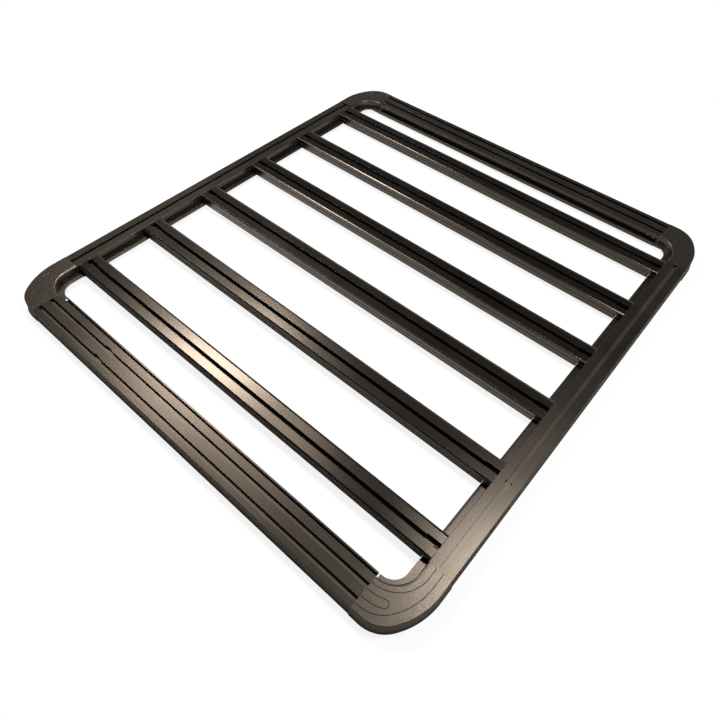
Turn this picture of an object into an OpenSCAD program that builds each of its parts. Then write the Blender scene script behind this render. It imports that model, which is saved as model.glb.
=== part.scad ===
/* [Overall] */
// Width across the slats, measured over the corner castings
rack_w = 1376; // [1200:2:1500]
// Length along the side rails, measured over the corner castings
rack_l = 1528; // [1400:2:1700]
// Height of the perimeter rails
rail_h = 40; // [38:1:46]

/* [Slats] */
// Number of cross slats
slat_count = 6; // [4:1:6]
// Gap between the outermost slats and the corner castings
slat_end_gap = 5.25; // [3:0.25:20]
// Width of a slat
slat_w = 65; // [60:1:70]
// Height of a slat
slat_h = 30; // [30:1:32]
// How far the slat tops lie below the rail tops
slat_drop = 1; // [0.5:0.5:2]
// Height of the tongue left at each slat end
tongue_h = 11.5; // [10:0.5:12]

/* [Rail sections] */
// Width of the flat top of the front and rear rails, from the outer face
end_top_w = 82.5; // [80:0.5:90]
// Width of the flat top of the side rails, from the outer face
side_top_w = 62; // [60:0.5:66]
// Wall thickness of the rail extrusions
rail_wall = 2; // [1.8:0.1:2.5]
// Wall thickness of the slat extrusions
slat_wall = 1.8; // [1.6:0.1:2.2]
// Distance from the outer face to the outer T-slot of an end rail
end_slot_a = 23.5; // [22:0.5:25]
// Distance from the outer face to the inner T-slot of an end rail
end_slot_b = 57.5; // [55:0.5:58]
// Distance from the outer face to the T-slot of a side rail
side_slot = 33.5; // [31:0.5:34]

/* [T-slots] */
// Width of the T-slot mouth in the slats and the rails
slot_mouth = 10.5; // [9:0.5:11]
// Thickness of the lips beside the mouth
slot_lip = 3; // [2.5:0.1:3.5]
// Width of the T-slot under its lips
slot_inner_w = 20; // [18:0.5:20]
// Depth of a rail T-slot below the top
rail_slot_depth = 9; // [8:0.5:10]
// Depth of a slat T-slot below the top
slat_slot_depth = 15.5; // [14:0.5:16]
// Width of the entry notch where a bolt head drops in
notch_w = 15.5; // [14:0.5:16]
// Length of an entry notch
notch_l = 36; // [30:1:40]

/* [Corners] */
// Length of a corner casting along the front or rear rail
corner_x = 124; // [122:1:130]
// Length of a corner casting along the side rail
corner_y = 175; // [172:1:180]
// How far the foot of a casting stands out past the rails
corner_proud = 1.5; // [1:0.5:2]
// How far the top of a casting stands above the rails
corner_rise = 0.8; // [0.4:0.2:1.2]
// Wall thickness of the castings
cast_wall = 3.5; // [3:0.5:4]

/* [Fastening] */
// Diameter of the bolt holes
bolt_d = 6.5; // [5:0.5:7]
// Clearance of a part that slides into another
fit_gap = 0.3; // [0.2:0.05:0.4]

/* [Hidden] */
$fn = 48;
eps = 0.01;
black = "#2b2927";
packer_black = "#161616";
key_grey = "#9a9a9a";

// Outer face of rails and castings: a foot, a leaning wall and a bevelled top edge
foot_h = 5;
foot_rise = 3;
foot_step = 2.5;
edge_inset = 6.5;
edge_bevel = 0.8;
rail_edge = edge_inset - corner_proud;
rail_foot = foot_step - corner_proud / 2;

// Heights, from the face that the rack rests on
slat_z = rail_h - slat_drop - slat_h;
ledge_drop = 24.3;
ledge_z = rail_h - ledge_drop;
ledge_t = 4.7;
tongue_z = slat_h - tongue_h;

// Side rail ledge: a flat with one groove, then a sloped nose
ledge_flat = 13.5;
ledge_nose = 6;
nose_drop = 3;
ledge_w = ledge_flat + ledge_nose;
ledge_groove_w = 2.5;
ledge_groove_at = 9;
ledge_groove_d = 1;

// End rail gutter: a floor and an upturned lip, cut back beside the castings
gutter_floor_z = 9;
gutter_floor_t = 2;
gutter_w = 10;
lip_t = 4;
lip_z = 20;
gutter_cut = 4;

// Slat section details
slat_groove_h = 2;
slat_groove_d = 1;
slat_foot_bevel = 1.5;
box_w = slot_inner_w + 2 * slat_wall;
box_z = slat_h - slat_slot_depth - slat_wall;
slat_gap = 0.5;
slat_pitch = (rack_l - 2 * (corner_y + slat_end_gap) - slat_w) / (slat_count - 1);
slat_l = rack_w - 2 * (corner_proud + side_top_w + slat_gap);
cope_l = ledge_w + 1 - slat_gap;
bolt_in = 8;

// Entry notches of the rail T-slots, from the middle of each rail
end_notch_x = -307;
side_notch_y = 343;
rail_notch_l = 30;

// Corner castings: a small arc and a large one, tangent to each other and to both sides.
// Their centres lie on the long side of a 3-4-5 triangle.
arc_a_r = 81.5;
arc_b_r = 176.5;
arc_a = [arc_b_r - 0.8 * (arc_b_r - arc_a_r), arc_a_r];
arc_b = [arc_b_r, arc_a_r + 0.6 * (arc_b_r - arc_a_r)];
corner_h = rail_h + corner_rise;
plate_t = 3.5;
inner_r = 60;
opening_r = 38;
flange_drop = 22;
flange_z = rail_h - flange_drop;
flange_t = 4;
soft_r = 6;
flange_x = side_top_w + corner_proud + ledge_w;
flange_y = end_top_w + corner_proud + gutter_w + lip_t;
step_x = side_top_w + corner_proud;
step_y = end_top_w + corner_proud;
reach = 2 * arc_b_r;

// Lines cut in the top of a casting: an outer one with two arcs, an inner one, and a loop
line_w = 1.5;
line_d = 1.2;
line_in = [26, 18];
line_a_r = arc_a_r - 6.5;
line_b_r = arc_b_r - 26.5;
line_a = [line_in[0] + line_b_r - 0.8 * (line_b_r - line_a_r), line_in[1] + line_a_r];
line_b = [line_in[0] + line_b_r, line_a[1] + 0.6 * (line_b_r - line_a_r)];
inner_line_in = [43, 68.5];
inner_line_r = inner_r + 20;
inner_line = inner_line_in + [inner_line_r, inner_line_r];
loop_in = 44;
loop_r = 117;
loop_c = [corner_x, loop_in + loop_r];
loop_half_w = 9;
loop_dir = [5 / 13, 12 / 13];

// Keys that join rails and castings
key_in_rail = 55;
key_in_corner = 42;
key_z = rail_wall + fit_gap;
key_h = rail_h - rail_slot_depth - 2 * rail_wall - 2 * fit_gap;
end_key_u = end_slot_b + rail_wall / 2 + fit_gap;
end_key_w = end_top_w - rail_wall - fit_gap - end_key_u;
side_key_u = side_slot + rail_wall / 2 + fit_gap;
side_key_w = side_top_w - rail_wall - fit_gap - side_key_u;
key_screw_d = 5;
key_screw_drop = 12.6;
key_screw_z = rail_h - key_screw_drop;
key_screw_l = 14;
key_screws = [16, 35];

// Packers, a little smaller than the ledge and the slat
packer_side_gap = 2;
packer_end_gap = 1.25;

function slat_y(i) = (i - (slat_count + 1) / 2) * slat_pitch;

// Outline of a rail body, moved inwards by t
function body_outline(top_w, t) = [
    [t, t], [t, foot_h], [rail_foot + t, foot_h + foot_rise],
    [rail_edge - edge_bevel + t, rail_h - max(t, edge_bevel)],
    [rail_edge + t, rail_h - t], [top_w - max(t, edge_bevel), rail_h - t],
    [top_w - t, rail_h - max(t, edge_bevel)], [top_w - t, t]
];

module slot_box(at, z_top, depth, wall) {
    w = slot_inner_w + 2 * wall;
    translate([at - w / 2, z_top - depth - wall]) square([w, depth + wall]);
}

module slot_cut(at, z_top, depth) {
    translate([at - slot_inner_w / 2, z_top - depth]) square([slot_inner_w, depth - slot_lip]);
    translate([at - slot_mouth / 2, z_top - slot_lip - eps]) square([slot_mouth, slot_lip + 1]);
}

module rail_body_2d(top_w, slots) {
    difference() {
        polygon(body_outline(top_w, 0));
        difference() {
            polygon(body_outline(top_w, rail_wall));
            for (at = slots) {
                slot_box(at, rail_h, rail_slot_depth, rail_wall);
                translate([at - rail_wall / 2, 0]) square([rail_wall, rail_h - rail_slot_depth]);
            }
        }
        for (at = slots) slot_cut(at, rail_h, rail_slot_depth);
    }
}

module side_rail_2d() {
    rail_body_2d(side_top_w, [side_slot]);
    difference() {
        polygon([
            [side_top_w - rail_wall / 2, ledge_z - ledge_t], [side_top_w - rail_wall / 2, ledge_z],
            [side_top_w + ledge_flat, ledge_z], [side_top_w + ledge_w, ledge_z - nose_drop],
            [side_top_w + ledge_w, ledge_z - ledge_t]
        ]);
        translate([side_top_w + ledge_groove_at, ledge_z - ledge_groove_d])
            square([ledge_groove_w, ledge_groove_d + 1]);
    }
}

module gutter_2d() {
    translate([end_top_w - rail_wall / 2, gutter_floor_z])
        square([gutter_w + lip_t + rail_wall / 2, gutter_floor_t]);
    translate([end_top_w + gutter_w, gutter_floor_z]) square([lip_t, lip_z - gutter_floor_z]);
}

// Stadium-shaped cut through the lips, its long side along y
module entry_notch(length) {
    translate([0, 0, -slot_lip - 0.5]) linear_extrude(slot_lip + 2) {
        for (s = [-1, 1]) translate([0, s * (length - notch_w) / 2]) circle(d = notch_w);
        square([notch_w, length - notch_w], center = true);
    }
}

// End rail along +y from y = 0, its outer face at x = 0
module end_rail() {
    length = rack_w - 2 * corner_x - 2 * fit_gap;
    difference() {
        union() {
            translate([0, length, 0]) rotate([90, 0, 0]) linear_extrude(length)
                rail_body_2d(end_top_w, [end_slot_a, end_slot_b]);
            translate([0, length - gutter_cut, 0]) rotate([90, 0, 0])
                linear_extrude(length - 2 * gutter_cut) gutter_2d();
        }
        for (at = [end_slot_a, end_slot_b])
            translate([at, length / 2 + end_notch_x, rail_h]) entry_notch(rail_notch_l);
        for (d = key_screws, y = [d, length - d])
            translate([end_top_w - rail_wall - 1, y, key_screw_z]) rotate([0, 90, 0])
                cylinder(d = key_screw_d, h = rail_wall + 2);
    }
}

// Side rail along +y, centred on y = 0, its outer face at x = 0
module side_rail() {
    length = rack_l - 2 * corner_y - 2 * fit_gap;
    difference() {
        translate([0, length / 2, 0]) rotate([90, 0, 0]) linear_extrude(length) side_rail_2d();
        translate([side_slot, side_notch_y, rail_h]) entry_notch(rail_notch_l);
        for (i = [1:slat_count])
            translate([side_top_w + bolt_in, slat_y(i), 0]) cylinder(d = bolt_d, h = ledge_z + 1);
    }
}

module front_rail() {
    color(black)
        translate([-rack_w / 2 + corner_x + fit_gap, -rack_l / 2 + corner_proud, 0])
            mirror([1, -1, 0]) end_rail();
}

module rear_rail() {
    color(black)
        translate([rack_w / 2 - corner_x - fit_gap, rack_l / 2 - corner_proud, 0])
            rotate(180) mirror([1, -1, 0]) end_rail();
}

module left_rail() {
    color(black) translate([-rack_w / 2 + corner_proud, 0, 0]) side_rail();
}

module right_rail() {
    color(black) rotate(180) translate([-rack_w / 2 + corner_proud, 0, 0]) side_rail();
}

// Outer face of a casting moved in by t and filled to depth d behind it, up to height top
function face(t, d, top) = [
    [t, 0], [t, foot_h], [foot_step + t, foot_h + foot_rise],
    [edge_inset - edge_bevel + t, min(corner_h - edge_bevel, top)],
    [edge_inset + t, top], [d, top], [d, 0]
];

// The same face swept round a centre at distance r
module face_round(t, r, top, facets) {
    rotate_extrude($fn = facets) polygon([for (p = face(t, r, top)) [r - p[0], p[1]]]);
}

// The side of the line through both centres that belongs to the large arc. It runs on past
// the arc's end, where the straight run covers it.
module large_arc_side() {
    polygon([arc_b, arc_b + [-reach, reach], arc_b - reach * [0.8, 0.6]]);
}

// All that lies inside the outer face of a casting, moved in by t, up to height top
module cast_body(t, top) {
    intersection() {
        cube([corner_x, corner_y, corner_h]);
        union() {
            translate(arc_a) face_round(t, arc_a_r, top, 96);
            intersection() {
                translate(arc_b) face_round(t, arc_b_r, top, 180);
                linear_extrude(corner_h) large_arc_side();
            }
            translate([arc_a[0], 0, 0]) rotate([90, 0, 90])
                linear_extrude(reach) polygon(face(t, reach, top));
            translate([0, arc_b[1], 0]) mirror([0, 1, 0]) rotate([90, 0, 0])
                linear_extrude(reach) polygon(face(t, reach, top));
        }
    }
}

// The open side of a casting: everything past x and y, with a round corner
module opening_plan(x, y, r) {
    translate([x + r, y]) square(reach);
    translate([x, y + r]) square([r, reach]);
    intersection() {
        translate([x, y]) square(r);
        translate([x + r, y + r]) circle(r, $fn = 96);
    }
}

// Soft inner edge of a casting: x measured outwards from the step
module soft_edge_2d() {
    steps = 6;
    polygon(concat(
        [[cast_wall, flange_z - flange_t], [0, flange_z - flange_t], [0, corner_h - soft_r]],
        [for (k = [1:steps]) let (a = 90 * k / steps)
            [soft_r * (1 - cos(a)), corner_h - soft_r + soft_r * sin(a)]],
        [[soft_r + 2, corner_h], [soft_r + 2, corner_h - plate_t], [cast_wall, corner_h - soft_r]]
    ));
}

module cast_inner_wall() {
    translate([step_x + inner_r, step_y + inner_r, 0]) rotate(180) rotate_extrude(angle = 90, $fn = 96)
        translate([inner_r, 0]) soft_edge_2d();
    translate([step_x, corner_y, 0]) rotate([90, 0, 0])
        linear_extrude(corner_y - step_y - inner_r) mirror([1, 0]) soft_edge_2d();
    translate([step_x + inner_r, step_y, 0]) rotate([90, 0, 90])
        linear_extrude(corner_x - step_x - inner_r) mirror([1, 0]) soft_edge_2d();
}

// Plan of one shallow line with a quarter arc: from the near joint, round, to the side joint
module quarter_line(center, r) {
    intersection() {
        translate(center) difference() {
            circle(r + line_w / 2, $fn = 96);
            circle(r - line_w / 2, $fn = 96);
        }
        translate(center - [reach, reach]) square(reach);
    }
    translate([center[0], center[1] - r - line_w / 2]) square([reach, line_w]);
    translate([center[0] - r - line_w / 2, center[1]]) square([line_w, reach]);
}

// Plan of the outer line, which follows two tangent arcs like the wall
module outer_line() {
    difference() {
        outer_line_side(line_w / 2);
        outer_line_side(-line_w / 2);
    }
}

// All that lies inside the outer line, grown by h
module outer_line_side(h) {
    translate(line_a) circle(line_a_r + h, $fn = 96);
    intersection() {
        translate(line_b) circle(line_b_r + h, $fn = 180);
        translate(line_b - arc_b) large_arc_side();
    }
    translate([line_a[0], line_in[1] - h]) square(reach);
    translate([line_in[0] - h, line_b[1]]) square(reach);
}

// Band of half-width h along the loop's middle line, with a round end
module loop_band(h) {
    translate(loop_c - loop_r * loop_dir) circle(h);
    intersection() {
        translate(loop_c) difference() {
            circle(loop_r + h, $fn = 180);
            circle(loop_r - h, $fn = 180);
        }
        polygon([loop_c, loop_c - reach * loop_dir, loop_c - [0, reach]]);
    }
}

module cast_lines() {
    translate([0, 0, corner_h - line_d]) linear_extrude(line_d + 1) {
        outer_line();
        quarter_line(inner_line, inner_line_r);
        difference() {
            loop_band(loop_half_w + line_w / 2);
            loop_band(loop_half_w - line_w / 2);
        }
    }
}

// Socket of a casting round the end of a key, open at the joint
module socket(u, w, length) {
    wall = rail_wall;
    translate([u - wall - fit_gap, 0, 0])
        cube([w + 2 * (wall + fit_gap), length + wall, key_z + key_h + fit_gap + wall]);
}

module key_space(u, w, length) {
    translate([u - fit_gap, -1, key_z - fit_gap])
        cube([w + 2 * fit_gap, length + 1 + fit_gap, key_h + 2 * fit_gap]);
}

module corner() {
    end_u = end_key_u + corner_proud;
    side_u = side_key_u + corner_proud;
    color(black) difference() {
        union() {
            difference() {
                cast_body(0, corner_h);
                cast_body(cast_wall, corner_h - plate_t);
                linear_extrude(corner_h + 1)
                    opening_plan(step_x - soft_r - 1, step_y - soft_r - 1, inner_r + soft_r + 1);
            }
            cast_inner_wall();
            translate([0, 0, flange_z - flange_t]) linear_extrude(flange_t) difference() {
                intersection() {
                    square([corner_x, corner_y]);
                    opening_plan(step_x - 1, step_y - 1, inner_r + 1);
                }
                opening_plan(flange_x, flange_y, opening_r);
            }
            translate([0, corner_y, 0]) mirror([0, 1, 0]) socket(side_u, side_key_w, key_in_corner);
            translate([corner_x, 0, 0]) mirror([1, 0, 0]) mirror([1, -1, 0])
                socket(end_u, end_key_w, key_in_corner);
        }
        translate([0, corner_y, 0]) mirror([0, 1, 0]) key_space(side_u, side_key_w, key_in_corner);
        translate([corner_x, 0, 0]) mirror([1, 0, 0]) mirror([1, -1, 0])
            key_space(end_u, end_key_w, key_in_corner);
        cast_lines();
    }
}

module at_corner(right, rear) {
    mirror([right ? 1 : 0, 0, 0]) mirror([0, rear ? 1 : 0, 0])
        translate([-rack_w / 2, -rack_l / 2, 0]) children();
}

module key(w) {
    color(key_grey) cube([w, key_in_corner + key_in_rail, key_h]);
}

module side_key() {
    translate([side_key_u + corner_proud, corner_y - key_in_corner, key_z]) key(side_key_w);
}

module end_key() {
    difference() {
        translate([corner_x - key_in_corner, end_key_u + corner_proud, key_z])
            mirror([1, -1, 0]) key(end_key_w);
        for (d = key_screws)
            color(key_grey) translate([corner_x + fit_gap + d, step_y, key_screw_z]) rotate([90, 0, 0])
                cylinder(d = key_screw_d, h = key_screw_l);
    }
}

// Right half of the slat outline, moved inwards by t, from the bottom up
function slat_half(t, h) = [
    [h - slat_foot_bevel - t / 2, t], [h - t, slat_foot_bevel + t / 2],
    [h - t, tongue_z - slat_groove_h], [h - slat_groove_d - t, tongue_z - slat_groove_h],
    [h - slat_groove_d - t, tongue_z], [h - t, tongue_z],
    [h - t, slat_h - max(t, edge_bevel)], [h - max(t, edge_bevel), slat_h - t]
];

module slat_outline(t) {
    half = slat_half(t, slat_w / 2);
    polygon(concat(half, [for (k = [len(half) - 1:-1:0]) [-half[k][0], half[k][1]]]));
}

module slat_2d() {
    difference() {
        slat_outline(0);
        difference() {
            slat_outline(slat_wall);
            slot_box(0, slat_h, slat_slot_depth, slat_wall);
            for (s = [-1, 1]) translate([s * (box_w - slat_wall) / 2 - slat_wall / 2, 0])
                square([slat_wall, box_z + eps]);
        }
        slot_cut(0, slat_h, slat_slot_depth);
    }
}

// Slat along x, centred, its underside at z = 0
module slat() {
    color(black) difference() {
        rotate([90, 0, 90]) linear_extrude(slat_l, center = true) slat_2d();
        for (s = [0, 1]) mirror([s, 0, 0]) {
            translate([slat_l / 2 - cope_l, -slat_w, -1]) cube([cope_l + 1, 2 * slat_w, box_z + 1]);
            for (y = [box_w / 2, -box_w / 2 - slat_w])
                translate([slat_l / 2 - cope_l, y, -1]) cube([cope_l + 1, slat_w, tongue_z + 1]);
            translate([slat_l / 2 - notch_l, -notch_w / 2, slat_h - slot_lip - 0.5])
                cube([notch_l + 1, notch_w, slot_lip + 1]);
            translate([slat_l / 2 + slat_gap - bolt_in, 0, 0]) cylinder(d = bolt_d, h = slat_h);
        }
    }
}

// Packer between the ledge and the tongue of a slat, at the left end
module packer() {
    base_t = slat_z + box_z - ledge_z;
    side_t = slat_z + tongue_z - ledge_z;
    w = slat_w - 2 * packer_side_gap;
    length = ledge_w - 2 * packer_end_gap;
    cradle = box_w + 2 * fit_gap;
    color(packer_black) translate([corner_proud + side_top_w + 1 - rack_w / 2, 0, ledge_z]) difference() {
        translate([0, -w / 2, 0]) cube([length, w, side_t]);
        translate([-1, -cradle / 2, base_t]) cube([length + 2, cradle, side_t]);
        translate([bolt_in - 1, 0, -1]) cylinder(d = bolt_d, h = side_t + 2);
    }
}

front_rail();
rear_rail();
left_rail();
right_rail();
at_corner(false, false) corner();  // front_left_corner
at_corner(true, false) corner();  // front_right_corner
at_corner(false, true) corner();  // rear_left_corner
at_corner(true, true) corner();  // rear_right_corner
at_corner(false, false) end_key();  // front_left_end_key
at_corner(true, false) end_key();  // front_right_end_key
at_corner(false, true) end_key();  // rear_left_end_key
at_corner(true, true) end_key();  // rear_right_end_key
at_corner(false, false) side_key();  // front_left_side_key
at_corner(true, false) side_key();  // front_right_side_key
at_corner(false, true) side_key();  // rear_left_side_key
at_corner(true, true) side_key();  // rear_right_side_key
for (i = [1:slat_count]) {
    translate([0, slat_y(i), slat_z]) slat();
    translate([0, slat_y(i), 0]) packer();
    mirror([1, 0, 0]) translate([0, slat_y(i), 0]) packer();
}
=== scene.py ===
# Platform roof rack: finishes, small fasteners, studio and camera
import bpy
import math
from mathutils import Matrix, Vector


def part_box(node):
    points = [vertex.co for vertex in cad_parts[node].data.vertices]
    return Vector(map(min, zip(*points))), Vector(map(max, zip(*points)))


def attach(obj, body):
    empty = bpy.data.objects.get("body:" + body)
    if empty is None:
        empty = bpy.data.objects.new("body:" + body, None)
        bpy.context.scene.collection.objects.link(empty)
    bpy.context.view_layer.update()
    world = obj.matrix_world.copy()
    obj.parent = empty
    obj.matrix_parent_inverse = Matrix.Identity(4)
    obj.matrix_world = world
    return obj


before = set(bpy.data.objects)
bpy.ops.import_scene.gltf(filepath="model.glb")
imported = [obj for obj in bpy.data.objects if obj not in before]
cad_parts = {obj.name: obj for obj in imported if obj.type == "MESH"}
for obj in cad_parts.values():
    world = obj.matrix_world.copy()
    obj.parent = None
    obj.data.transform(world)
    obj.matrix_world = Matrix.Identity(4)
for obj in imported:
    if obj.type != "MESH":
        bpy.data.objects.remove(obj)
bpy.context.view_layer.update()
print("frame loaded, nodes:", len(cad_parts))


# camera, matched to the photo
cameraLook = {
    "place": (0.7395, -0.9753, 1.1915),
    "turn": (37.061, -1.432, 41.037),      # degrees
    "lens": 28.53,
    "sensor": 36,                          # millimetres, as the lens
    "nearLimit": 0.05,
}


def addCamera():
    look = cameraLook
    bpy.ops.object.select_all(action="DESELECT")
    turn = [math.radians(angle) for angle in look["turn"]]
    bpy.ops.object.camera_add(location=look["place"], rotation=turn)
    camera = bpy.context.object
    camera.name = "photoCamera"
    camera.data.lens = look["lens"]
    camera.data.sensor_width = look["sensor"]
    camera.data.clip_start = look["nearLimit"]
    bpy.context.scene.camera = camera


# studio: floor, soft sky and lamps
studioLook = {
    "floorSize": 60,
    "floorDrop": 0.0003,         # below the rack's underside
    "floorColour": (0.97, 0.97, 0.97),
    "floorRoughness": 0.9,
    "whiteFrom": (1.05, 1.9),    # distance from the middle where the shadow starts to fade, and is gone
    "shadowFill": 0.86,          # how far the shadow is lightened beside the rack
    "horizon": 1.0,              # sky strength at the horizon
    "overhead": 0.06,            # and straight up, which the flat tops mirror
    "skyFade": (0.05, 0.52),     # heights in the sky between which it darkens
    # name: place, aims at, width, height, watts, colour
    "lamps": {
        "leftLamp": ((-1.69, 0.31, 2.36), (-0.06, -0.56, 0.04), 1.00, 0.42, 66, (1.0, 0.93, 0.86)),
        "midLamp": ((-0.88, 0.12, 2.45), (0.15, -0.58, 0.04), 0.60, 0.42, 7, (1.0, 0.93, 0.86)),
        "rightLamp": ((0.82, 0.52, 2.85), (0.76, -0.54, 0.04), 0.60, 0.40, 60, (1.0, 0.98, 0.96)),
        "farLamp": ((1.90, 1.80, 4.40), (0.0, 0.0, 0.0), 1.20, 1.20, 30, (1.0, 0.99, 0.98)),
    },
}


def makePaper():
    # for the eye the paper is part plain white, and wholly so past the rack and its shadow
    look = studioLook
    paper, nodes, links, surface = newMaterial("studioPaper")
    surface.inputs["Base Color"].default_value = (*look["floorColour"], 1)
    surface.inputs["Roughness"].default_value = look["floorRoughness"]
    surface.inputs["Specular IOR Level"].default_value = 0.0
    place = nodes.new("ShaderNodeTexCoord")
    away = nodes.new("ShaderNodeVectorMath")
    away.operation = "LENGTH"
    links.new(place.outputs["Object"], away.inputs[0])
    fill = addRange(nodes, links, away.outputs["Value"], look["whiteFrom"], (look["shadowFill"], 1.0))
    ray = nodes.new("ShaderNodeLightPath")
    fade = addMath(nodes, links, "MULTIPLY", ray.outputs["Is Camera Ray"], fill)
    white = nodes.new("ShaderNodeEmission")
    white.inputs["Strength"].default_value = 1.0
    blend = nodes.new("ShaderNodeMixShader")
    links.new(fade, blend.inputs["Fac"])
    links.new(surface.outputs["BSDF"], blend.inputs[1])
    links.new(white.outputs["Emission"], blend.inputs[2])
    links.new(blend.outputs["Shader"], nodes["Material Output"].inputs["Surface"])
    return paper


def addFloor():
    bpy.ops.object.select_all(action="DESELECT")
    place = (0, 0, -studioLook["floorDrop"])
    bpy.ops.mesh.primitive_plane_add(size=studioLook["floorSize"], location=place)
    floor = bpy.context.object
    floor.name = "studioFloor"
    bpy.ops.object.transform_apply(location=True, rotation=True, scale=True)
    floor.data.materials.append(makePaper())


def addSky():
    look = studioLook
    world = bpy.data.worlds.new("softSky")
    bpy.context.scene.world = world
    world.use_nodes = True
    nodes, links = world.node_tree.nodes, world.node_tree.links
    sky = nodes["Background"]
    sky.inputs["Color"].default_value = (1, 1, 1, 1)
    place = nodes.new("ShaderNodeTexCoord")
    split = nodes.new("ShaderNodeSeparateXYZ")
    links.new(place.outputs["Generated"], split.inputs["Vector"])
    fade = addRange(nodes, links, split.outputs["Z"], look["skyFade"], (look["horizon"], look["overhead"]))
    fade.node.interpolation_type = "SMOOTHSTEP"
    links.new(fade, sky.inputs["Strength"])


def addLamps():
    for name, (place, aim, width, height, watts, colour) in studioLook["lamps"].items():
        bpy.ops.object.select_all(action="DESELECT")
        bpy.ops.object.light_add(type="AREA", location=place)
        lamp = bpy.context.object
        lamp.name = name
        lamp.data.shape = "RECTANGLE"
        lamp.data.size = width
        lamp.data.size_y = height
        lamp.data.energy = watts
        lamp.data.color = colour
        away = lamp.location - Vector(aim)
        lamp.rotation_euler = away.to_track_quat("Z", "Y").to_euler()


# what the materials are built from
def newMaterial(name):
    material = bpy.data.materials.new(name)
    material.use_nodes = True
    nodes, links = material.node_tree.nodes, material.node_tree.links
    return material, nodes, links, nodes["Principled BSDF"]


def addNoise(nodes, links, vector, scale, detail=3.0, rough=0.55):
    noise = nodes.new("ShaderNodeTexNoise")
    noise.inputs["Scale"].default_value = scale
    noise.inputs["Detail"].default_value = detail
    noise.inputs["Roughness"].default_value = rough
    links.new(vector, noise.inputs["Vector"])
    return noise.outputs["Fac"]


def addRange(nodes, links, value, fromSpan, toSpan=(0.0, 1.0)):
    span = nodes.new("ShaderNodeMapRange")
    for socket, number in zip(("From Min", "From Max", "To Min", "To Max"), (*fromSpan, *toSpan)):
        span.inputs[socket].default_value = number
    links.new(value, span.inputs["Value"])
    return span.outputs["Result"]


def addMath(nodes, links, operation, *values):
    sums = nodes.new("ShaderNodeMath")
    sums.operation = operation
    for socket, value in zip(sums.inputs, values):
        if isinstance(value, (int, float)):
            socket.default_value = value
        else:
            links.new(value, socket)
    return sums.outputs["Value"]


def addPair(nodes, links, factor, first, second):
    # a plain number that goes from first to second with the factor
    rest = addMath(nodes, links, "SUBTRACT", 1.0, factor)
    return addMath(nodes, links, "ADD", addMath(nodes, links, "MULTIPLY", rest, first),
                   addMath(nodes, links, "MULTIPLY", factor, second))


def addMix(nodes, links, factor, first, second):
    # a colour that goes from first to second with the factor
    mix = nodes.new("ShaderNodeMix")
    mix.data_type = "RGBA"
    links.new(factor, mix.inputs["Factor"])
    for socket, value in (("A", first), ("B", second)):
        if isinstance(value, tuple):
            mix.inputs[socket].default_value = (*value, 1)
        else:
            links.new(value, mix.inputs[socket])
    return mix.outputs["Result"]


def addBump(nodes, links, height, strength, distance, normal=None):
    bump = nodes.new("ShaderNodeBump")
    bump.inputs["Strength"].default_value = strength
    bump.inputs["Distance"].default_value = distance
    links.new(height, bump.inputs["Height"])
    if normal is not None:
        links.new(normal, bump.inputs["Normal"])
    return bump.outputs["Normal"]


def addRoundedEdges(nodes, links, radius):
    # softens the sharp edges for the light, and gives a mask of where they are
    maskSpan = (0.995, 0.86)      # cosine of the softened edge's turn, where the mask starts and is full
    rounded = nodes.new("ShaderNodeBevel")
    rounded.samples = 4
    rounded.inputs["Radius"].default_value = radius
    flat = nodes.new("ShaderNodeNewGeometry")
    compare = nodes.new("ShaderNodeVectorMath")
    compare.operation = "DOT_PRODUCT"
    links.new(rounded.outputs["Normal"], compare.inputs[0])
    links.new(flat.outputs["Normal"], compare.inputs[1])
    return rounded.outputs["Normal"], addRange(nodes, links, compare.outputs["Value"], maskSpan)


def addCrevices(nodes, links, reach):
    # one down in grooves, joints and inner corners, by how sheltered a place is; it darkens the colour there
    # as painted shade, and the gloss is lost
    openSpan = (0.80, 0.45)       # how open a place is, where the mask starts and is full
    shelter = nodes.new("ShaderNodeAmbientOcclusion")
    shelter.samples = 6
    shelter.only_local = True
    shelter.inputs["Distance"].default_value = reach
    return addRange(nodes, links, shelter.outputs["AO"], openSpan)


def addOutwardMask(nodes, links, place):
    # one on the faces that look away from the middle of the rack, such as the outer walls
    farSpan = (0.15, 0.45)        # the face's distance from the middle, where the mask starts and is full
    face = nodes.new("ShaderNodeNewGeometry")
    facing = nodes.new("ShaderNodeVectorMath")
    facing.operation = "DOT_PRODUCT"
    links.new(face.outputs["Normal"], facing.inputs[0])
    links.new(place, facing.inputs[1])
    return addRange(nodes, links, facing.outputs["Value"], farSpan)


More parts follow.
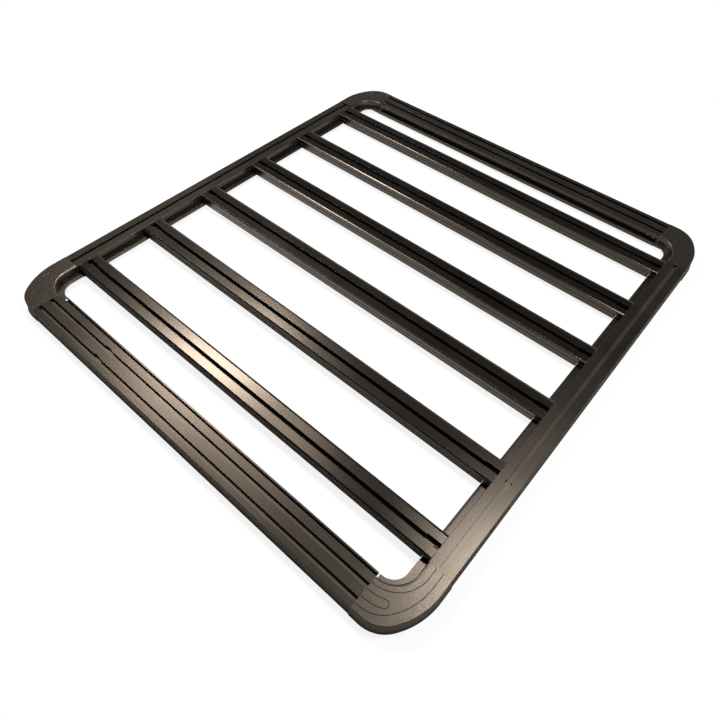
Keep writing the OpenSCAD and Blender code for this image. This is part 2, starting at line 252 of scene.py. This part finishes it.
# black anodised rails and slats
extrusionLook = {
    "slatTones": ((0.0025, 0.0022, 0.0018), (0.0065, 0.0057, 0.0047)),
    "railTones": ((0.0050, 0.0045, 0.0037), (0.0130, 0.0115, 0.0095)),
    "toneSpan": (0.35, 0.65),           # noise that gives the first and the second tone
    "slatRoughness": (0.20, 0.265),
    "railRoughness": (0.26, 0.34),
    "glossSpan": (0.3, 0.7),            # noise that gives the smoothest and the roughest
    "wallRoughness": 0.85,              # the outer walls are dull
    "sheenTint": (1.0, 0.84, 0.69),
    "ior": 1.5,
    "wornTone": (0.045, 0.040, 0.034),
    "wear": (0.15, 0.7),                # least and most wear on the edges
    "wearSpan": (0.4, 0.65),
    "cutTone": (0.62, 0.61, 0.59),      # bare aluminium where the saw went through
    "cutDepth": 0.00005,
    "railSlotFloor": 0.031,
    "slatSlotFloor": 0.0235,
    "paintedFloorLightTone": (0.055, 0.048, 0.038),  # painted light: a paler tone on the floor of a slot, for the light that falls on it
    "paintedFloorLight": (0.5, 1.0),                 # least and most of it
    "paintedFloorLightSpan": (0.3, 0.6),
    "slotFloorNear": 0.0006,
    "streaksPerMetre": 1100,            # across the extrusion
    "streakLength": 2.4,                # fewer, longer streaks when smaller
    "cloudsPerMetre": 7.0,
    "cloudShare": 0.5,                  # the rest is streaks
    "grainPerMetre": 1500.0,
    "grainWeight": 0.25,
    "bump": (0.12, 0.00002),            # strength and distance
    "edgeRadius": 0.0005,
    "slatFallFrom": 0.0273,             # from a slat's middle, where its outer lips begin to fall away
    "slatFall": 0.42,                   # and how steeply
}


def addFallingLips(nodes, links, y, normal):
    # the height is in metres, so its slope is the one that the light sees
    look = extrusionLook
    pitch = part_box("slat_2")[0][1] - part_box("slat_1")[0][1]
    across = addMath(nodes, links, "FLOORED_MODULO", y, pitch)
    fromMiddle = addMath(nodes, links, "ABSOLUTE", addMath(nodes, links, "SUBTRACT", across, pitch / 2))
    beyond = addMath(nodes, links, "SUBTRACT", fromMiddle, look["slatFallFrom"])
    beyond = addMath(nodes, links, "MAXIMUM", beyond, 0.0)
    height = addMath(nodes, links, "MULTIPLY", beyond, -look["slatFall"])
    return addBump(nodes, links, height, 1.0, 1.0, normal)


def makeExtrusion(name, kind, node, along):
    # kind is rail or slat, and the die lines run along this axis of the node
    look = extrusionLook
    material, nodes, links, surface = newMaterial(name)
    place = nodes.new("ShaderNodeTexCoord").outputs["Object"]
    split = nodes.new("ShaderNodeSeparateXYZ")
    links.new(place, split.inputs["Vector"])
    stretch = nodes.new("ShaderNodeMapping")
    stretch.vector_type = "POINT"
    scales = [look["streaksPerMetre"]] * 3
    scales[along] = look["streakLength"]
    stretch.inputs["Scale"].default_value = scales
    links.new(place, stretch.inputs["Vector"])
    streaks = addNoise(nodes, links, stretch.outputs["Vector"], 1.0, 2.0)
    clouds = addNoise(nodes, links, place, look["cloudsPerMetre"], 4.0)
    grain = addNoise(nodes, links, place, look["grainPerMetre"], 2.0)
    rounded, edges = addRoundedEdges(nodes, links, look["edgeRadius"])
    if kind == "slat":
        rounded = addFallingLips(nodes, links, split.outputs["Y"], rounded)

    blend = addPair(nodes, links, look["cloudShare"], streaks, clouds)
    tone = addMix(nodes, links, addRange(nodes, links, blend, look["toneSpan"]), *look[kind + "Tones"])
    worn = addRange(nodes, links, clouds, look["wearSpan"], look["wear"])
    tone = addMix(nodes, links, addMath(nodes, links, "MULTIPLY", edges, worn), tone, look["wornTone"])
    reach = addMath(nodes, links, "ABSOLUTE", split.outputs[along])
    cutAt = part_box(node)[1][along] - look["cutDepth"]
    cut = addMath(nodes, links, "GREATER_THAN", reach, cutAt)
    tone = addMix(nodes, links, cut, tone, look["cutTone"])
    # painted light: the floors of the slots are made paler, where light falls into them
    slotFloor = look[kind + "SlotFloor"]
    onFloor = addMath(nodes, links, "COMPARE", split.outputs["Z"], slotFloor, look["slotFloorNear"])
    paintedLightOnFloor = addRange(nodes, links, clouds, look["paintedFloorLightSpan"], look["paintedFloorLight"])
    tone = addMix(nodes, links, addMath(nodes, links, "MULTIPLY", onFloor, paintedLightOnFloor), tone, look["paintedFloorLightTone"])
    links.new(tone, surface.inputs["Base Color"])
    links.new(cut, surface.inputs["Metallic"])

    gloss = addRange(nodes, links, blend, look["glossSpan"], look[kind + "Roughness"])
    outward = addOutwardMask(nodes, links, place)
    links.new(addPair(nodes, links, outward, gloss, look["wallRoughness"]), surface.inputs["Roughness"])
    surface.inputs["Specular Tint"].default_value = (*look["sheenTint"], 1)
    surface.inputs["IOR"].default_value = look["ior"]
    grain = addMath(nodes, links, "MULTIPLY", grain, look["grainWeight"])
    height = addMath(nodes, links, "ADD", streaks, grain)
    links.new(addBump(nodes, links, height, *look["bump"], rounded), surface.inputs["Normal"])
    return material


# powder-coated corner castings with a fine speckle
castingLook = {
    "tones": ((0.0060, 0.0053, 0.0044), (0.0190, 0.0168, 0.0140)),
    "toneSpan": (0.38, 0.66),
    "wornTone": (0.075, 0.066, 0.056),
    "wear": (0.2, 0.7),
    "wearSpan": (0.4, 0.65),
    # painted shade: the colour that the sheltered grooves, joints and inner corners are darkened to
    "creviceShadeTone": (0.0016, 0.0014, 0.0012),
    "creviceReach": 0.0016,
    "roughness": (0.35, 0.25),       # the pale specks are the smoothest
    "glossSpan": (0.35, 0.65),
    "wallRoughness": 0.85,
    "sheenTint": (1.0, 0.84, 0.69),
    "ior": 1.62,
    "specksPerMetre": 950,
    "cloudsPerMetre": 14.0,
    "cloudShare": 0.35,              # the rest is specks
    "bump": (0.5, 0.00025),
    "edgeRadius": 0.0007,
}


def makeCasting(name):
    look = castingLook
    material, nodes, links, surface = newMaterial(name)
    place = nodes.new("ShaderNodeTexCoord").outputs["Object"]
    specks = addNoise(nodes, links, place, look["specksPerMetre"], 3.0, 0.6)
    clouds = addNoise(nodes, links, place, look["cloudsPerMetre"], 4.0)
    rounded, edges = addRoundedEdges(nodes, links, look["edgeRadius"])
    crevices = addCrevices(nodes, links, look["creviceReach"])
    blend = addPair(nodes, links, look["cloudShare"], specks, clouds)
    tone = addMix(nodes, links, addRange(nodes, links, blend, look["toneSpan"]), *look["tones"])
    worn = addRange(nodes, links, clouds, look["wearSpan"], look["wear"])
    tone = addMix(nodes, links, addMath(nodes, links, "MULTIPLY", edges, worn), tone, look["wornTone"])
    # painted shade darkens the colour in the sheltered grooves, joints and corners
    links.new(addMix(nodes, links, crevices, tone, look["creviceShadeTone"]), surface.inputs["Base Color"])
    gloss = addRange(nodes, links, blend, look["glossSpan"], look["roughness"])
    dull = addMath(nodes, links, "MAXIMUM", crevices, addOutwardMask(nodes, links, place))
    links.new(addPair(nodes, links, dull, gloss, look["wallRoughness"]), surface.inputs["Roughness"])
    surface.inputs["Specular Tint"].default_value = (*look["sheenTint"], 1)
    surface.inputs["IOR"].default_value = look["ior"]
    links.new(addBump(nodes, links, specks, *look["bump"], rounded), surface.inputs["Normal"])
    return material


# moulded black plastic with a matt grain
packerLook = {
    "tones": ((0.006, 0.006, 0.006), (0.016, 0.016, 0.016)),
    "toneSpan": (0.35, 0.65),
    "roughness": (0.50, 0.65),
    "glossSpan": (0.3, 0.7),
    "grainPerMetre": 1800.0,
    "cloudsPerMetre": 60.0,
    "bump": (0.4, 0.0001),
}


def makePacker(name):
    look = packerLook
    material, nodes, links, surface = newMaterial(name)
    place = nodes.new("ShaderNodeTexCoord").outputs["Object"]
    grain = addNoise(nodes, links, place, look["grainPerMetre"], 2.0)
    clouds = addNoise(nodes, links, place, look["cloudsPerMetre"])
    tone = addMix(nodes, links, addRange(nodes, links, clouds, look["toneSpan"]), *look["tones"])
    links.new(tone, surface.inputs["Base Color"])
    gloss = addRange(nodes, links, clouds, look["glossSpan"], look["roughness"])
    links.new(gloss, surface.inputs["Roughness"])
    links.new(addBump(nodes, links, grain, *look["bump"]), surface.inputs["Normal"])
    return material


# bare and coated metals of the keys and fasteners
metalLook = {
    "toneSpan": (0.35, 0.65),
    "glossSpan": (0.3, 0.7),
    "bump": (0.2, 0.00005),
    # name: first tone, second tone, roughness, grains per metre
    "millAluminium": ((0.50, 0.50, 0.49), (0.62, 0.61, 0.60), (0.35, 0.50), 300),
    "stainlessSteel": ((0.42, 0.41, 0.39), (0.56, 0.55, 0.53), (0.24, 0.38), 900),
    "blackenedSteel": ((0.010, 0.010, 0.011), (0.030, 0.029, 0.028), (0.35, 0.50), 900),
    "dullZinc": ((0.075, 0.072, 0.066), (0.15, 0.145, 0.135), (0.45, 0.60), 900),
}


def makeMetal(name):
    look = metalLook
    firstTone, secondTone, roughness, grains = look[name]
    material, nodes, links, surface = newMaterial(name)
    place = nodes.new("ShaderNodeTexCoord").outputs["Object"]
    clouds = addNoise(nodes, links, place, grains)
    tone = addMix(nodes, links, addRange(nodes, links, clouds, look["toneSpan"]), firstTone, secondTone)
    links.new(tone, surface.inputs["Base Color"])
    surface.inputs["Metallic"].default_value = 1.0
    gloss = addRange(nodes, links, clouds, look["glossSpan"], roughness)
    links.new(gloss, surface.inputs["Roughness"])
    links.new(addBump(nodes, links, clouds, *look["bump"]), surface.inputs["Normal"])
    return material


def dressNodes():
    endRail = makeExtrusion("blackExtrusionAcross", "rail", "front_rail", 0)
    sideRail = makeExtrusion("blackExtrusionAlong", "rail", "right_rail", 1)
    slat = makeExtrusion("blackSlat", "slat", "slat_1", 0)
    casting = makeCasting("speckledCasting")
    packer = makePacker("matteBlackPlastic")
    key = makeMetal("millAluminium")
    for name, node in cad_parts.items():
        if name in ("front_rail", "rear_rail"):
            finish = endRail
        elif name in ("left_rail", "right_rail"):
            finish = sideRail
        elif name.endswith("_corner"):
            finish = casting
        elif name.endswith("_key"):
            finish = key
        elif name.endswith("_packer"):
            finish = packer
        else:
            finish = slat
        if not node.material_slots:
            node.data.materials.append(finish)
        for materialSlot in node.material_slots:
            materialSlot.material = finish
    print("finishes on the frame")


# what the small pieces are made with
def startPick(piece, kind):
    bpy.context.view_layer.objects.active = piece
    bpy.ops.object.mode_set(mode="EDIT")
    bpy.ops.mesh.select_mode(type=kind)
    bpy.ops.mesh.select_all(action="DESELECT")
    bpy.ops.object.mode_set(mode="OBJECT")


def pickFaces(piece, way):
    # the faces that look this way
    nearlyOne = 0.9
    startPick(piece, "FACE")
    for face in piece.data.polygons:
        face.select = face.normal.dot(Vector(way)) > nearlyOne
    bpy.ops.object.mode_set(mode="EDIT")


def pickEdges(piece, wanted):
    # the edges whose two ends pass the test
    startPick(piece, "EDGE")
    points = piece.data.vertices
    for edge in piece.data.edges:
        edge.select = wanted(*(points[i].co for i in edge.vertices))
    bpy.ops.object.mode_set(mode="EDIT")


def insetMove(thickness, move):
    bpy.ops.mesh.inset(thickness=thickness)
    bpy.ops.transform.translate(value=move)


def extrudeDown(distance, factor):
    # and widens or narrows the end
    bpy.ops.mesh.extrude_region_move(TRANSFORM_OT_translate={"value": (0, 0, -distance)})
    bpy.ops.transform.resize(value=(factor, factor, 1))


def endEdit():
    bpy.ops.object.mode_set(mode="OBJECT")


def addRound(sides, radius, depth, place, turn=(0, 0, 0)):
    bpy.ops.object.select_all(action="DESELECT")
    bpy.ops.mesh.primitive_cylinder_add(
        vertices=sides, radius=radius, depth=depth, location=place, rotation=turn)
    bpy.ops.object.transform_apply(location=True, rotation=True, scale=True)
    return bpy.context.object


def joinPieces(pieces, name):
    bpy.ops.object.select_all(action="DESELECT")
    for piece in pieces:
        piece.select_set(True)
    bpy.context.view_layer.objects.active = pieces[0]
    bpy.ops.object.join()
    bpy.ops.object.transform_apply(location=True, rotation=True, scale=True)
    bpy.context.object.name = name
    return bpy.context.object


def cutAway(piece, cutter):
    cut = piece.modifiers.new("cut", "BOOLEAN")
    cut.operation = "DIFFERENCE"
    cut.solver = "EXACT"
    cut.object = cutter
    bpy.ops.object.select_all(action="DESELECT")
    piece.select_set(True)
    bpy.context.view_layer.objects.active = piece
    bpy.ops.object.modifier_apply(modifier="cut")
    bpy.data.objects.remove(cutter)


def finishPiece(piece, material):
    smoothUpTo = 35      # degrees
    bpy.ops.object.select_all(action="DESELECT")
    piece.select_set(True)
    bpy.context.view_layer.objects.active = piece
    bpy.ops.object.shade_smooth_by_angle(angle=math.radians(smoothUpTo))
    piece.data.materials.clear()
    piece.data.materials.append(material)
    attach(piece, "root")


def copyPiece(piece, name, change):
    # change is a matrix, such as a move or a half turn
    twin = piece.copy()
    twin.data = piece.data.copy()
    twin.data.transform(change)
    twin.name = name
    bpy.context.collection.objects.link(twin)
    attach(twin, "root")
    return twin


# a bolt with washer and nut through each end of each slat
slatBolt = {
    "endGap": 0.0005,           # between a slat's end and the inner wall of the side rail
    "fromWall": 0.008,          # from that wall to the bolt
    "floorAboveBase": 0.0145,   # slot floor above the slat's underside
    "ledgeBottom": 0.0110,
    "acrossFlats": 0.010,
    "headHeight": 0.0040,
    "nutHeight": 0.0048,
    "chamfer": 0.0005,
    "chamferInset": 0.0009,
    "shankSides": 20,
    "shankRadius": 0.0030,
    "shankInHead": 0.001,
    "threadTurns": 4,
    "threadPitch": 0.0005,
    "rootShare": 0.86,          # radius of the thread's root, of the shank's
    "tipLength": 0.0004,
    "tipShare": 0.8,
    "washerSides": 28,
    "washerRadius": 0.0060,
    "washerThick": 0.0012,
    "washerChamfer": 0.0001,
    "washerInset": 0.0003,
    "play": 0.0001,             # between shank and bore
    "cutterLength": 0.03,
}


def makeBolt(x, y, slotFloor):
    size = slatBolt
    depth = size["headHeight"] - size["chamfer"]
    head = addRound(6, size["acrossFlats"] / math.sqrt(3), depth, (x, y, slotFloor + depth / 2))
    pickFaces(head, (0, 0, 1))
    insetMove(size["chamferInset"], (0, 0, size["chamfer"]))
    endEdit()
    top = slotFloor + size["shankInHead"]
    end = size["ledgeBottom"] - size["washerThick"] - size["nutHeight"]
    shank = addRound(size["shankSides"], size["shankRadius"], top - end, (x, y, (top + end) / 2))
    pickFaces(shank, (0, 0, -1))
    for turn in range(size["threadTurns"]):
        for factor in (size["rootShare"], 1 / size["rootShare"]):      # one groove and one crest
            extrudeDown(size["threadPitch"] / 2, factor)
    extrudeDown(size["tipLength"], size["tipShare"])
    endEdit()
    return joinPieces([head, shank], "slat_1_right_bolt")


def makeNut(x, y):
    # washer and nut are each bored before they are joined
    size = slatBolt
    washerTop = size["ledgeBottom"]
    nutTop = washerTop - size["washerThick"]
    nutDepth = size["nutHeight"] - size["chamfer"]
    rings = []
    for sides, radius, depth, top, inset, drop in (
            (size["washerSides"], size["washerRadius"], size["washerThick"], washerTop,
             size["washerInset"], size["washerChamfer"]),
            (6, size["acrossFlats"] / math.sqrt(3), nutDepth, nutTop,
             size["chamferInset"], size["chamfer"])):
        ring = addRound(sides, radius, depth, (x, y, top - depth / 2))
        pickFaces(ring, (0, 0, -1))
        insetMove(inset, (0, 0, -drop))
        endEdit()
        bore = size["shankRadius"] + size["play"]
        cutAway(ring, addRound(size["shankSides"], bore, size["cutterLength"], (x, y, washerTop)))
        rings.append(ring)
    return joinPieces(rings, "slat_1_right_nut")


def addSlatBolts():
    low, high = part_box("slat_1")
    x = high[0] + slatBolt["endGap"] - slatBolt["fromWall"]
    middle = (low[1] + high[1]) / 2
    bolt = makeBolt(x, middle, low[2] + slatBolt["floorAboveBase"])
    nut = makeNut(x, middle)
    finishPiece(bolt, makeMetal("blackenedSteel"))
    finishPiece(nut, makeMetal("stainlessSteel"))
    slats = sorted(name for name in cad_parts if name.startswith("slat_") and name.count("_") == 1)
    for name in slats:
        slatLow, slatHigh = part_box(name)
        step = (slatLow[1] + slatHigh[1]) / 2 - middle
        for side, shift in (("right", 0), ("left", -2 * x)):
            if name == "slat_1" and side == "right":
                continue      # the ones that are copied
            for piece, kind in ((bolt, "bolt"), (nut, "nut")):
                copyPiece(piece, f"{name}_{side}_{kind}", Matrix.Translation((shift, step, 0)))
    print("slat bolts and nuts:", 4 * len(slats))


# two domed socket screws at each end of the end rails' inner walls, into the keys
keyScrew = {
    "fromEnd": (0.016, 0.035),      # from each end of an end rail
    "wallFromOutside": 0.0825,      # inner wall of an end rail, from its outer edge
    "height": 0.0274,
    "headSides": 24,
    "headRadius": 0.0047,
    "headEdge": 0.0008,
    "domeSteps": ((0.0006, 0.0008), (0.0009, 0.0006), (0.0010, 0.0003)),      # inset and rise of each
    "socketRadius": 0.0016,
    "socketDepth": 0.0016,
    "shankSides": 20,
    "shankRadius": 0.0024,
    "shankLength": 0.011,
    "shankInHead": 0.0002,
    "tipChamfer": 0.0005,
}


def makeKeyScrew(x, wall):
    size = keyScrew
    turn = (-math.pi / 2, 0, 0)
    headMiddle = (x, wall + size["headEdge"] / 2, size["height"])
    head = addRound(size["headSides"], size["headRadius"], size["headEdge"], headMiddle, turn)
    pickFaces(head, (0, 1, 0))
    for inset, rise in size["domeSteps"]:
        insetMove(inset, (0, rise, 0))
    endEdit()
    top = wall + size["headEdge"] + sum(rise for inset, rise in size["domeSteps"])
    cutAway(head, addRound(6, size["socketRadius"], 2 * size["socketDepth"], (x, top, size["height"]), turn))
    shankMiddle = (x, wall - size["shankLength"] / 2 + size["shankInHead"], size["height"])
    shank = addRound(size["shankSides"], size["shankRadius"], size["shankLength"], shankMiddle, turn)
    pickFaces(shank, (0, -1, 0))
    insetMove(size["tipChamfer"], (0, -size["tipChamfer"], 0))
    endEdit()
    return joinPieces([head, shank], "front_left_key_screw_1")


def addKeyScrews():
    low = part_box("front_rail")[0]
    x = low[0] + keyScrew["fromEnd"][0]
    spacing = keyScrew["fromEnd"][1] - keyScrew["fromEnd"][0]
    screw = makeKeyScrew(x, low[1] + keyScrew["wallFromOutside"])
    finishPiece(screw, makeMetal("dullZinc"))
    opposite = copyPiece(screw, "rear_right_key_screw_1", Matrix.Rotation(math.pi, 4, "Z"))
    for first, row, near, far, way in ((screw, "front", "left", "right", 1),
                                       (opposite, "rear", "right", "left", -1)):
        for side, number, shift in ((near, 2, spacing), (far, 1, -2 * x), (far, 2, -2 * x - spacing)):
            move = Matrix.Translation((way * shift, 0, 0))
            copyPiece(first, f"{row}_{side}_key_screw_{number}", move)
    print("key screws: 8")


# cast tabs that close the ends of the outer slots, under the corners' top plates
slotStop = {
    "across": 0.024,
    "thick": 0.0025,
    "top": 0.03725,
    "endBottom": 0.0265,
    "sideBottom": 0.0312,            # lower down is the socket of the side key
    "fromEndEdge": 0.0235,           # middle of the outer slot, from the edge of its rail
    "fromSideEdge": 0.0335,
    "gap": 0.0005,                   # behind the end of the rail
    "cornerRound": 0.0025,
    "cornerSteps": 4,
    "edgeRound": 0.0004,
    "near": 0.0001,                  # what counts as level with the bottom
}


def makeSlotStop(kind, x, y, wide, deep):
    size = slotStop
    bottom = size[kind + "Bottom"]
    height = size["top"] - bottom
    bpy.ops.object.select_all(action="DESELECT")
    middle = (x, y, bottom + height / 2)
    bpy.ops.mesh.primitive_cube_add(size=1, location=middle, scale=(wide, deep, height))
    bpy.ops.object.transform_apply(location=True, rotation=True, scale=True)
    stop = bpy.context.object
    stop.name = f"rear_right_{kind}_slot_stop"

    def isLowerCorner(first, second):
        # the short edges at the bottom, through the tab's thickness
        low = max(first.z, second.z) < bottom + size["near"]
        return low and (first - second).length < 2 * size["thick"]

    pickEdges(stop, isLowerCorner)
    bpy.ops.mesh.bevel(offset=size["cornerRound"], segments=size["cornerSteps"])
    bpy.ops.mesh.select_all(action="SELECT")
    bpy.ops.mesh.bevel(offset=size["edgeRound"], segments=1)
    endEdit()
    return stop


def addSlotStops():
    size = slotStop
    casting = bpy.data.materials["speckledCasting"]
    endCorner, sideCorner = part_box("rear_rail")[1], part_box("right_rail")[1]
    beyond = size["gap"] + size["thick"] / 2
    kinds = (
        ("end", endCorner[0] + beyond, endCorner[1] - size["fromEndEdge"], size["thick"], size["across"]),
        ("side", sideCorner[0] - size["fromSideEdge"], sideCorner[1] + beyond, size["across"], size["thick"]),
    )
    for kind, x, y, wide, deep in kinds:
        stop = makeSlotStop(kind, x, y, wide, deep)
        finishPiece(stop, casting)
        for row, side, shift in (("rear", "left", (-2 * x, 0, 0)), ("front", "right", (0, -2 * y, 0)),
                                 ("front", "left", (-2 * x, -2 * y, 0))):
            copyPiece(stop, f"{row}_{side}_{kind}_slot_stop", Matrix.Translation(shift))
    print("slot stops: 8")


addCamera()
addFloor()
addSky()
addLamps()
print("camera and studio placed")
dressNodes()
addSlatBolts()
addKeyScrews()
addSlotStops()

bpy.context.scene.view_settings.view_transform = "Standard"
